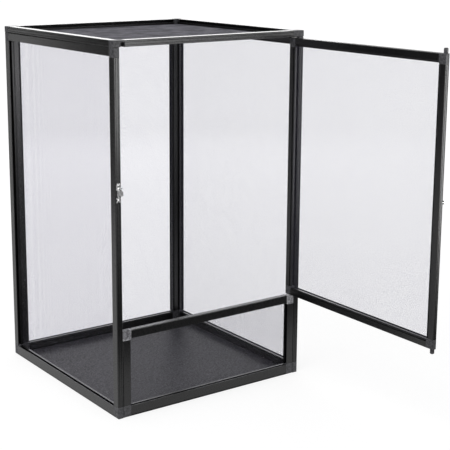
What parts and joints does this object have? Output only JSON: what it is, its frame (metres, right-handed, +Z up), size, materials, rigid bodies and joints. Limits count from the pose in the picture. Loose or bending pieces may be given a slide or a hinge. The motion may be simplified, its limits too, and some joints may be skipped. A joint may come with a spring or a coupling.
{
  "type": "reptile terrarium",
  "caption": "Tall screened reptile cage of black framed mesh panels, with a hinged front door standing open, a swing-hook latch and a flat floor board.",
  "frame": {"origin": "centre of the cage's base on the ground", "axes": "+X to the right seen from the front, +Y from the door side to the back, +Z up"},
  "size_m": [0.46, 0.88, 0.75],
  "materials": {
    "frame": "satin black powder coat on aluminium extrusion",
    "connector": "dark grey moulded nylon with a fine grain",
    "screen": "fine black woven wire cloth",
    "spline": "ribbed black cord",
    "board": "plain black sheet",
    "bright": "bright nickel plate",
    "washer": "white nylon"
  },
  "bodies": {
    "cage": {"left_front_stile": "frame", "left_rear_stile": "frame", "left_top_rail": "frame", "left_base_rail": "frame", "left_corners": "connector", "left_mesh": "screen", "left_spline": "spline", "right_front_stile": "frame", "right_rear_stile": "frame", "right_top_rail": "frame", "right_base_rail": "frame", "right_corners": "connector", "right_mesh": "screen", "right_spline": "spline", "back_left_stile": "frame", "back_right_stile": "frame", "back_top_rail": "frame", "back_base_rail": "frame", "back_corners": "connector", "back_mesh": "screen", "back_spline": "spline", "top_front_rail": "frame", "top_rear_rail": "frame", "top_left_rail": "frame", "top_right_rail": "frame", "top_rear_corners": "connector", "top_catch_corner": "connector", "top_hinge_corner": "connector", "top_mesh": "screen", "top_spline": "spline", "lower_left_stile": "frame", "lower_right_stile": "frame", "lower_top_rail": "frame", "lower_base_rail": "frame", "lower_base_corners": "connector", "lower_catch_corner": "connector", "lower_hinge_corner": "connector", "lower_mesh": "screen", "lower_spline": "spline", "floor_board": "board", "hinge_washers": "washer", "latch_plate": "bright", "latch_screws": "bright", "latch_rivet": "bright"},
    "door": {"door_free_stile": "frame", "door_hinge_stile": "frame", "door_top_rail": "frame", "door_bottom_rail": "frame", "door_free_corners": "connector", "door_hinge_corners": "connector", "door_mesh": "screen", "door_spline": "spline", "door_stud": "bright"},
    "latch_hook": {"latch_hook": "bright"}
  },
  "joints": [
    {"name": "door_hinge", "type": "hinge", "parent": "cage", "child": "door", "pos_m": [0.21, -0.2235, 0.459], "axis": [0, 0, -1], "range_deg": [0, 90]},
    {"name": "latch_pivot", "type": "hinge", "parent": "cage", "child": "latch_hook", "pos_m": [-0.2235, -0.232, 0.468], "axis": [0, -1, 0], "range_deg": [0, 18]}
  ]
}
